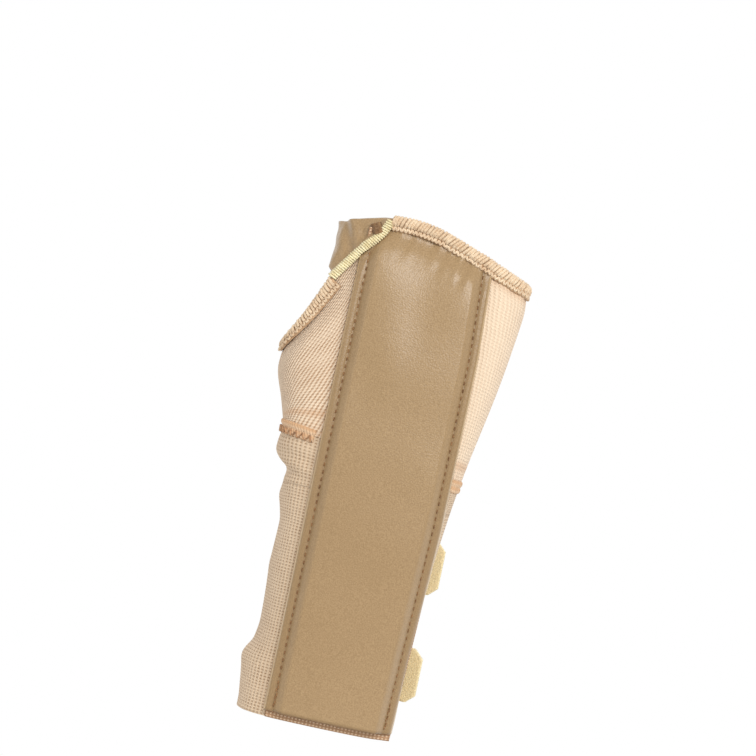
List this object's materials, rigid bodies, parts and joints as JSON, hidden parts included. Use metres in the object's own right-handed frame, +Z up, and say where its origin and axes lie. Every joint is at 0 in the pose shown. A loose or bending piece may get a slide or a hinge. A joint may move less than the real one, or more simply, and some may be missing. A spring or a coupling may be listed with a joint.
{
  "type": "wrist splint",
  "caption": "Left-hand elastic wrist splint: a knit sleeve with a thumb opening, a padded leatherette palm panel over a sliding metal stay, and peel-open straps on the back.",
  "frame": {"origin": "middle of the forearm opening, in the plane of the lower rim; the forearm that wears the splint holds it there", "axes": "+Z runs up the forearm to the fingers, -Y is the palm side, -X is the thumb side"},
  "size_m": [0.0822, 0.0534, 0.1758],
  "materials": {
    "elastic_knit": "ribbed elastic knit, matt",
    "forearm_knit": "open elastic mesh knit, matt",
    "leatherette": "fine-grained leatherette, semi-matt",
    "pocket_tricot": "brushed tricot",
    "binding": "overlocked yarn binding",
    "seam_thread": "brown zigzag thread",
    "overcast_thread": "pale yellow overcast thread",
    "strap_webbing": "woven strap",
    "hook_tape": "translucent moulded hooks",
    "loop_tape": "brushed loop pile",
    "aluminium": "satin, deburred"
  },
  "bodies": {
    "root": {"hand_sleeve": "elastic_knit", "forearm_sleeve": "forearm_knit", "wrist_seam": "seam_thread", "pocket_lining": "pocket_tricot", "palm_panel": "leatherette", "finger_binding": "binding", "thumb_binding": "binding", "web_bridge": "leatherette", "bridge_overcast": "overcast_thread", "bar_tack": "seam_thread"},
    "stay": {"palm_stay": "aluminium"},
    "radial_side": {"radial_flap": "forearm_knit", "radial_flap_binding": "binding", "lower_anchor_patch": "leatherette", "upper_anchor_patch": "leatherette", "lower_strap_root": "strap_webbing", "upper_strap_root": "strap_webbing"},
    "ulnar_side": {"ulnar_flap": "forearm_knit", "ulnar_flap_binding": "binding", "lower_loop_patch": "loop_tape", "upper_loop_patch": "loop_tape"},
    "lower_closure": {"lower_strap": "strap_webbing", "lower_hook_patch": "hook_tape"},
    "upper_closure": {"upper_strap": "strap_webbing", "upper_hook_patch": "hook_tape"}
  },
  "joints": [
    {"name": "stay_slide", "type": "hinge", "parent": "root", "child": "stay", "pos_m": [0.003, 0.828, 0.06], "axis": [1, 0, 0], "range_deg": [0, 4.04]},
    {"name": "radial_flap_open", "type": "hinge", "parent": "root", "child": "radial_side", "pos_m": [-0.0304, 0.004, 0.039], "axis": [0, 0, 1], "range_deg": [0, 55]},
    {"name": "ulnar_flap_open", "type": "hinge", "parent": "root", "child": "ulnar_side", "pos_m": [0.0294, 0.004, 0.039], "axis": [0, 0, -1], "range_deg": [0, 55]},
    {"name": "lower_strap_peel", "type": "hinge", "parent": "radial_side", "child": "lower_closure", "pos_m": [-0.0085, 0.02647, 0.0206], "axis": [0, 0, 1], "range_deg": [0, 100]},
    {"name": "upper_strap_peel", "type": "hinge", "parent": "radial_side", "child": "upper_closure", "pos_m": [-0.0085, 0.0228, 0.0589], "axis": [0, 0, 1], "range_deg": [0, 100]}
  ],
  "couplings": [
    {"joint": "ulnar_flap_open", "follows": "radial_flap_open", "ratio": 1}
  ]
}
